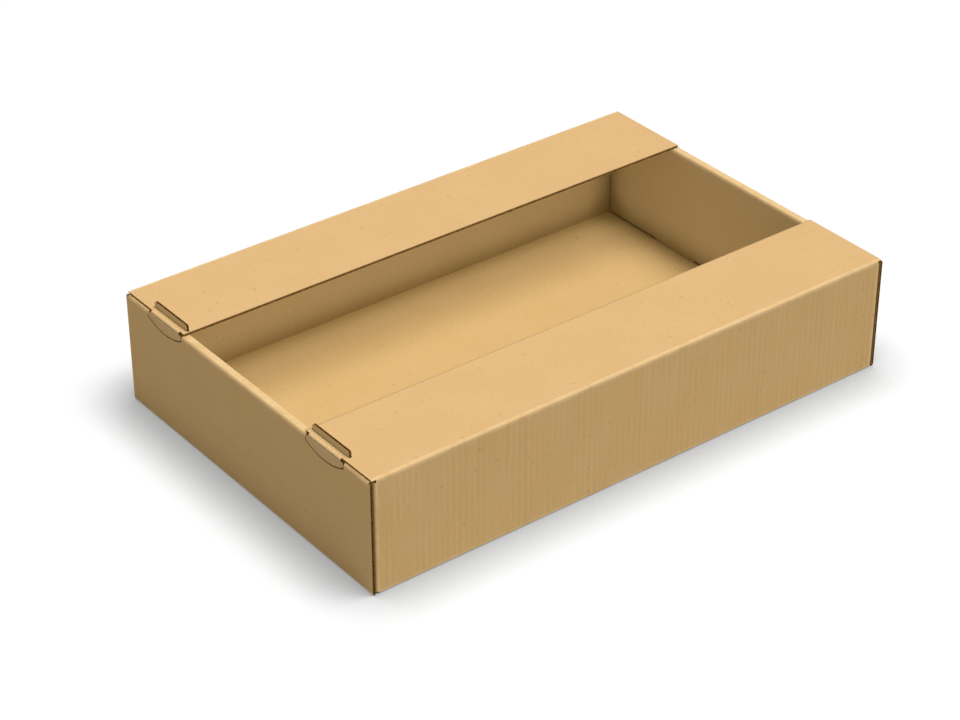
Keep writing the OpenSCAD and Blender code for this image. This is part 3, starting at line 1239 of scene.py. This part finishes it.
@dataclass(frozen=True)
class KraftLiner:
    """Plain brown liner paper, as it shows on the faces of the board."""

    name: str
    paper: Colour
    shade: Colour
    # Light colour along the folds: rubbed paper, partly a painted highlight.
    wear_and_painted_light: Colour = linear(236, 203, 152)
    fleck: Colour = linear(150, 112, 66)
    # Painted shade along the cut edges and in the gaps round the half-moons and slits.
    edge: Colour = linear(92, 60, 20)
    flecks: float = 1.0
    # Strength of the painted shade of the flute ridges in the colour: full on the long walls'
    # outside, faint elsewhere.
    line_strength: float = 0.034
    wall_lines: float = 1.0
    other_lines: float = 0.06
    pale: Colour = (0.70, 0.66, 0.58, 1.0)
    # Painted shade in the inner corners, from the piece's own ambient occlusion.
    corner: Colour = (0.50, 0.46, 0.32, 1.0)
    corner_reach: float = 0.022
    corner_gain: float = 2.0
    corner_depth: float = 1.6
    corner_samples: int = 6
    cloud_range: tuple[float, float] = (0.35, 0.65)
    grain: float = 0.16
    fleck_share: float = 0.25
    ridge_share: float = 0.75
    fibre_height: float = 0.5
    line_height: float = 0.12
    roughness: tuple[float, float] = (0.74, 0.92)
    specular: float = 0.06
    bump: float = 0.25
    bump_distance: float = 0.00012

    def build(self, groups: PaperGroups, board: Board) -> bpy.types.Material:
        """Build the material.

        Args:
            groups: The shared shader groups.
            board: The board, which gives the pitch of its flutes.

        Returns:
            The material.
        """
        material, net, shader = add_material(self.name)
        place = net.node("ShaderNodeUVMap", uv_map="Sheet").outputs["UV"]
        bent, wall, edge = (net.node("ShaderNodeAttribute", attribute_name=name).outputs["Fac"]
                            for name in ("crease", "wall", "edge"))
        fibre = net.node("ShaderNodeGroup", {"Vector": place, "Flecks": self.flecks},
                         node_tree=groups.fibre)
        flutes = net.node("ShaderNodeGroup", {"Vector": place, "Pitch": board.pitch * MM},
                          node_tree=groups.flutes)
        crease = net.node("ShaderNodeGroup", {"Vector": place, "Bent": bent},
                          node_tree=groups.crease)
        base = net.mix(net.ramp(fibre.outputs["Cloud"], *self.cloud_range), self.paper, self.shade)
        # The flute lines darken and lighten the colour as painted shade of their ridges, and also
        # drive the bump.
        reach = net.math("ADD", net.math("MULTIPLY", wall, self.wall_lines - self.other_lines),
                         self.other_lines)
        flute_relief_and_shade = net.math("MULTIPLY", flutes.outputs["Line"], reach)
        lines = net.math("MULTIPLY", flute_relief_and_shade, self.line_strength)
        grain = net.math("MULTIPLY", net.math(
            "SUBTRACT", fibre.outputs["Fibre"], groups.NOISE_MIDDLE), self.grain)
        level = net.math("ADD", net.math("ADD", 1.0, lines), grain)
        lit = net.node("ShaderNodeVectorMath", {0: base, "Scale": level}, operation="SCALE")
        spotted = net.mix(net.math("MULTIPLY", fibre.outputs["Fleck"], self.fleck_share),
                          lit.outputs["Vector"], self.fleck)
        # Light lines along the folds: partly wear, partly a painted highlight.
        ridged = net.mix(net.math("MULTIPLY", crease.outputs["Ridge"], self.ridge_share),
                         spotted, self.wear_and_painted_light)
        # Painted shade along the cut edges, by the stored edge value.
        wear_and_painted_light = net.mix(edge, ridged, self.edge)
        # Painted shade where faces of the same piece close in on each other.
        close = net.node("ShaderNodeAmbientOcclusion", {"Distance": self.corner_reach},
                         samples=self.corner_samples, only_local=True)
        closed = net.math("MULTIPLY", net.math("SUBTRACT", 1.0, close.outputs["AO"]),
                          self.corner_gain)
        painted_corner_shade = net.mix(net.math("POWER", closed, self.corner_depth), wear_and_painted_light, self.corner,
                         "MULTIPLY")
        bounced = net.node("ShaderNodeLightPath").outputs["Is Diffuse Ray"]
        rough = net.node("ShaderNodeMapRange", {
            "Value": fibre.outputs["Fibre"], "To Min": self.roughness[0],
            "To Max": self.roughness[1]})
        height = net.math("ADD", net.math("MULTIPLY", fibre.outputs["Fibre"], self.fibre_height),
                          net.math("MULTIPLY", flute_relief_and_shade, self.line_height))
        bump = net.node("ShaderNodeBump", {
            "Height": height, "Strength": self.bump, "Distance": self.bump_distance})
        net.fill_all(shader, {
            "Base Color": net.mix(bounced, painted_corner_shade, self.pale), "Roughness": rough.outputs["Result"],
            "Normal": bump.outputs["Normal"], "Specular IOR Level": self.specular})
        return material


@dataclass(frozen=True)
class CutPaper:
    """Raw paper of the cut edges or of the fluted medium, browner and rougher than a liner."""

    name: str
    raw: Colour
    dark: Colour
    fibre_range: tuple[float, float] = (0.38, 0.62)
    roughness: float = 0.95
    specular: float = 0.1
    bump: float = 0.5
    bump_distance: float = 0.0001

    def build(self, groups: PaperGroups) -> bpy.types.Material:
        """Build the material.

        Args:
            groups: The shared shader groups.

        Returns:
            The material.
        """
        material, net, shader = add_material(self.name)
        place = net.node("ShaderNodeTexCoord").outputs["Object"]
        fibre = net.node("ShaderNodeGroup", {"Vector": place, "Flecks": 1.0},
                         node_tree=groups.fibre)
        share = net.ramp(fibre.outputs["Fibre"], *self.fibre_range)
        bump = net.node("ShaderNodeBump", {
            "Height": fibre.outputs["Fibre"], "Strength": self.bump,
            "Distance": self.bump_distance})
        net.fill_all(shader, {
            "Base Color": net.mix(share, self.raw, self.dark), "Roughness": self.roughness,
            "Normal": bump.outputs["Normal"], "Specular IOR Level": self.specular})
        return material


@dataclass
class Papers:
    """The box's materials, and the nodes that press its flutes."""

    tray: bpy.types.Material
    flap: bpy.types.Material
    cut: bpy.types.Material
    medium: bpy.types.Material
    nodes: FluteNodes

    @classmethod
    def build(cls, board: Board) -> "Papers":
        """Build every material once.

        Args:
            board: The board, which gives the pitch of its flutes.

        Returns:
            The papers.
        """
        groups = PaperGroups()
        tray = KraftLiner("tray liner", linear(219, 181, 123), linear(217, 178, 119))
        flap = KraftLiner("flap liner", linear(219, 181, 127), linear(217, 178, 123))
        cut = CutPaper("cut liner", linear(160, 118, 64), linear(122, 84, 38))
        medium = CutPaper("fluted medium", linear(146, 104, 52), linear(104, 68, 26))
        return cls(tray.build(groups, board), flap.build(groups, board), cut.build(groups),
                   medium.build(groups), FluteNodes())


@dataclass
class SheetPart:
    """What the tray and the flaps have in common: two liners, a medium and a CAD node."""

    blank: Blank
    papers: Papers
    body: str
    slot: str

    def finish(self, piece: bpy.types.Object, stands_for_node: bool = False) -> bpy.types.Object:
        """Let a piece ride on this part's body.

        Args:
            piece: The piece.
            stands_for_node: Whether the piece is shown in place of the CAD node.

        Returns:
            The piece.
        """
        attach(piece, self.body)
        if stands_for_node:
            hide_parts(self.body)
        LOG.info("%s: %d faces", piece.name, len(piece.data.polygons))
        return piece

    def flute_lines(self, loop: Loop, along: int = 1) -> list[Line]:
        """Lines along the flutes, close enough together to draw their waves.

        Args:
            loop: Outline of the part.
            along: The flat axis that the flutes run along, 0 or 1.

        Returns:
            The lines, across the whole outline.
        """
        step = self.blank.board.pitch / self.blank.board.flute_steps
        runs, across = ([point[axis] for point in loop] for axis in (along, 1 - along))
        low, high = min(runs) - OVERRUN, max(runs) + OVERRUN
        places = [index * step for index in range(math.ceil(min(across) / step),
                                                  math.floor(max(across) / step) + 1)]
        if along:
            return [((place, low), (place, high)) for place in places]
        return [((low, place), (high, place)) for place in places]

    def liners(self, outside: Sheet, inside: Sheet) -> Layer:
        """Put the outer and the inner liner at their depths in the board."""
        outer, inner = self.blank.board.liner_depths
        return Layer.together([Layer.raised(outside, *outer), Layer.raised(inside, *inner)])


@dataclass
class Tray(SheetPart):
    """Floor, walls, dust flaps, rolled-over ends and the two tongues."""

    def build(self) -> None:
        """Build the tray's liners and its medium."""
        blank, board = self.blank, self.blank.board
        creases = blank.tray_creases(board.fold_steps)
        holes = blank.floor_slots() + [blank.window(side, True) for side in Side]
        # Lines that bound the painted shade round each half-moon window.
        wear_and_painted_light = [line for side in Side for line in blank.window_shade_lines(side)]
        outside = Sheet.cut([blank.tray_outline(blank.hinge_v), *holes], creases + wear_and_painted_light)
        wall_top = blank.wall_v(blank.height - blank.radius)
        inside = Sheet.cut([blank.tray_outline(wall_top), *holes], creases)
        self.finish(fold_piece("tray_liners", self.liners(outside, inside), blank, True,
                               [self.papers.tray, self.papers.cut]), True)
        self.finish(fold_piece("tray_medium", self.medium(), blank, False, [self.papers.medium]))

    def medium(self) -> Layer:
        """Build the fluted medium, whose flutes run the other way in the tongues.

        Returns:
            The medium, pressed but not yet folded.
        """
        blank, board = self.blank, self.blank.board
        outline = blank.tray_outline(blank.hinge_v)
        holes = blank.floor_slots() + [blank.window(side, False) for side in Side]
        lines = blank.tray_creases(board.crushed_steps) + self.flute_lines(outline)
        sheet = Sheet.cut([outline, *holes], lines)
        layers = [Layer.raised(sheet, *board.medium_depths)]
        for side in Side:
            tongue = blank.tongue_outline(side)
            sheet = Sheet.cut([tongue], self.flute_lines(tongue, 0))
            layers.append(Layer.raised(sheet, *board.medium_depths, 0))
        return self.papers.nodes.press(Layer.together(layers), board, self.papers.medium)


@dataclass
class Flap(SheetPart):
    """One top flap with its half of the hinge fold, its slot, its neck and its tuck tab."""

    side: Side

    def build(self) -> list[bpy.types.Object]:
        """Build the flap's liners, its medium and the inner liner across its hinge.

        Returns:
            The pieces that turn with the flap.
        """
        blank, board = self.blank, self.blank.board
        creases = blank.flap_creases(self.side, board.fold_steps)
        holes = blank.flap_holes(self.side)
        outline = blank.flap_outline(self.side, blank.hinge_v)
        outside = Sheet.cut([outline, *holes], creases + blank.flap_shade_lines(self.side))
        flat_start = blank.flap_v(blank.side_y)
        inside = Sheet.cut([blank.flap_outline(self.side, flat_start), *holes], creases)
        liners = self.finish(fold_piece(
            f"{self.body}_liners", self.liners(outside, inside), blank, True,
            [self.papers.flap, self.papers.cut]), True)
        lines = blank.flap_creases(self.side, board.crushed_steps) + self.flute_lines(outline)
        layer = Layer.raised(Sheet.cut([outline, *holes], lines), *board.medium_depths)
        layer = self.papers.nodes.press(layer, board, self.papers.medium)
        medium = self.finish(fold_piece(f"{self.body}_medium", layer, blank, False,
                                        [self.papers.medium]))
        self.crease()
        return [liners, medium]

    def crease(self) -> None:
        """Build the strip of inner liner across the hinge."""
        blank, board = self.blank, self.blank.board
        sign = self.side.value
        low = blank.wall_v(blank.height - blank.radius)
        high = blank.flap_v(blank.side_y)
        end = blank.corner_x
        loop = rectangle(-end, sign * low, end, sign * high)
        lines = [line_along(sign * (low + (high - low) * step / board.fold_steps), end)
                 for step in range(1, board.fold_steps)]
        inner = board.liner_depths[1]
        strip = Layer.raised(Sheet.cut([loop], lines), *inner)
        piece = fold_piece(f"{self.body}_crease", strip, blank, True,
                           [self.papers.flap, self.papers.cut])
        ends = np.array([[0.0, sign * low, inner[1]], [0.0, sign * high, inner[1]]])
        start, stop = blank.fold(ends)[0] * MM
        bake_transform(piece)
        LOG.info("%s: %d faces", piece.name, len(piece.data.polygons))


@dataclass(frozen=True)
class Camera:
    """The camera that took the picture, worked out from the box's straight edges."""

    focal_pixels: float = 2657.1
    yaw: float = 37.685
    pitch: float = 32.595
    roll: float = -0.046
    place: tuple[float, float, float] = (-0.8896, -1.12267, 0.93257)
    picture_width: int = 960
    sensor: float = 36.0
    clip: tuple[float, float] = (0.05, 30.0)

    def build(self) -> None:
        """Build the camera and make it the scene's own."""
        yaw, pitch, roll = (math.radians(x) for x in (self.yaw, self.pitch, self.roll))
        forward = Vector((math.sin(yaw) * math.cos(pitch), math.cos(yaw) * math.cos(pitch),
                          -math.sin(pitch)))
        level = Vector((math.cos(yaw), -math.sin(yaw), 0.0))
        up = level.cross(forward)
        right = level * math.cos(roll) + up * math.sin(roll)
        data = bpy.data.cameras.new("camera")
        data.sensor_width = self.sensor
        data.lens = self.focal_pixels / self.picture_width * self.sensor
        data.clip_start, data.clip_end = self.clip
        camera = add_object("camera", data)
        matrix = Matrix((right, right.cross(forward), -forward)).transposed().to_4x4()
        matrix.translation = Vector(self.place)
        camera.matrix_world = matrix
        bpy.context.scene.camera = camera


@dataclass(frozen=True)
class SoftLight:
    """A broad, even light that is far enough away to fall alike on everything."""

    name: str
    towards: tuple[float, float, float]
    spread: float
    strength: float

    def build(self, passes: list[bpy.types.Object]) -> None:
        """Build the lamp and turn it to the box.

        Args:
            passes: Pieces that this light passes through.
        """
        data = bpy.data.lights.new(self.name, "SUN")
        data.angle, data.energy = math.radians(self.spread), self.strength
        lamp = add_object(self.name, data)
        lamp.location = self.towards
        lamp.rotation_euler = (-Vector(self.towards)).to_track_quat("-Z", "Y").to_euler()
        if passes:
            blockers = bpy.data.collections.new(f"{self.name} blockers")
            lamp.light_linking.blocker_collection = blockers
            for piece in passes:
                blockers.objects.link(piece)
            for entry in blockers.collection_objects:
                entry.light_linking.link_state = "EXCLUDE"


@dataclass(frozen=True)
class Studio:
    """Pale floor, white surroundings and soft light."""

    sky: float = 0.335
    floor_half: float = 4.0
    floor_shown: float = 0.62
    floor_lift: float = 0.33
    floor_bounce: float = 0.49
    # Reach, depth and samples of the painted contact shadow on the floor.
    contact: float = 0.039
    contact_depth: float = 1.65
    contact_samples: int = 6
    key: SoftLight = SoftLight("key", (0.54, -0.56, 2.0), 35.0, 1.45)
    fill: SoftLight = SoftLight("fill", (0.28, -0.56, 2.0), 35.0, 1.17)

    def build(self, flaps: list[bpy.types.Object]) -> None:
        """Build the floor, the world and the lamps.

        Args:
            flaps: The flaps' pieces, which the fill light passes, so that the inside of the
                box stays nearly as bright as its top.
        """
        self.build_floor()
        self.build_world()
        self.key.build([])
        self.fill.build(flaps)
        bpy.context.scene.view_settings.view_transform = "Standard"

    @staticmethod
    def background_rays(net: NodeNet) -> bpy.types.NodeSocket:
        """Pick out the rays that show the background: the camera's, and through shiny things.

        Args:
            net: The net of the material or the world.

        Returns:
            One for these rays and zero for others.
        """
        path = net.node("ShaderNodeLightPath")
        shiny = net.math("MAXIMUM", path.outputs["Is Glossy Ray"],
                         path.outputs["Is Transmission Ray"])
        return net.math("MAXIMUM", path.outputs["Is Camera Ray"], shiny)

    def build_floor(self) -> None:
        """Build the floor, which shows white to the camera and keeps the box's shadow, with a
        painted contact shadow from ambient occlusion round the box's foot.
        """
        half = self.floor_half
        mesh = bpy.data.meshes.new("floor")
        mesh.from_pydata([(*corner, 0) for corner in rectangle(-half, -half, half, half)],
                         [], [(0, 1, 2, 3)])
        material, net, shader = add_material("floor")
        seen = self.background_rays(net)
        # Painted contact shadow: the floor's shown colour is darkened by ambient occlusion near the
        # box.
        close = net.node("ShaderNodeAmbientOcclusion", {"Distance": self.contact},
                         samples=self.contact_samples)
        open_share = net.math("POWER", close.outputs["AO"], self.contact_depth)
        shown = net.math("MULTIPLY", open_share, self.floor_shown)
        net.fill_all(shader, {
            "Base Color": net.mix(seen, (*[self.floor_bounce] * 3, 1.0), shown),
            "Roughness": 1.0, "Specular IOR Level": 0.0, "Emission Color": WHITE,
            "Emission Strength": net.math("MULTIPLY", seen, self.floor_lift)})
        mesh.materials.append(material)
        add_object("floor", mesh)

    def build_world(self) -> None:
        """Build the surroundings: an even sky, which the camera sees as white."""
        world = bpy.data.worlds.new("studio")
        bpy.context.scene.world = world
        world.use_nodes = True
        net = NodeNet(world.node_tree)
        strength = net.math("ADD", self.sky,
                            net.math("MULTIPLY", self.background_rays(net), 1.0 - self.sky))
        net.fill_all(world.node_tree.nodes["Background"], {"Color": WHITE, "Strength": strength})


def measure_blank(board: Board) -> Blank:
    """Take the sheet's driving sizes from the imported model.

    Args:
        board: The board that the sheet is cut from.

    Returns:
        The sheet.
    """
    tray_high, flap_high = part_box("tray")[1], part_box("front_flap")[1]
    return Blank(board, half_length=tray_high.x / MM, half_width=tray_high.y / MM,
                 height=flap_high.z / MM, tongue_top=tray_high.z / MM,
                 flap_edge_y=-flap_high.y / MM, flap_end_x=flap_high.x / MM)


def main() -> None:
    """Build the studio and the box, and log the number of faces of each piece."""
    logging.basicConfig(level=logging.INFO, format="%(name)s: %(message)s")
    board = Board()
    blank = measure_blank(board)
    papers = Papers.build(board)
    Tray(blank, papers, "tray", "tray_board").build()
    flaps = Flap(blank, papers, "front_flap", "flap_board", Side.FRONT).build()
    flaps += Flap(blank, papers, "rear_flap", "flap_board", Side.REAR).build()
    Camera().build()
    Studio().build(flaps)


if __name__ == "__main__":
    main()
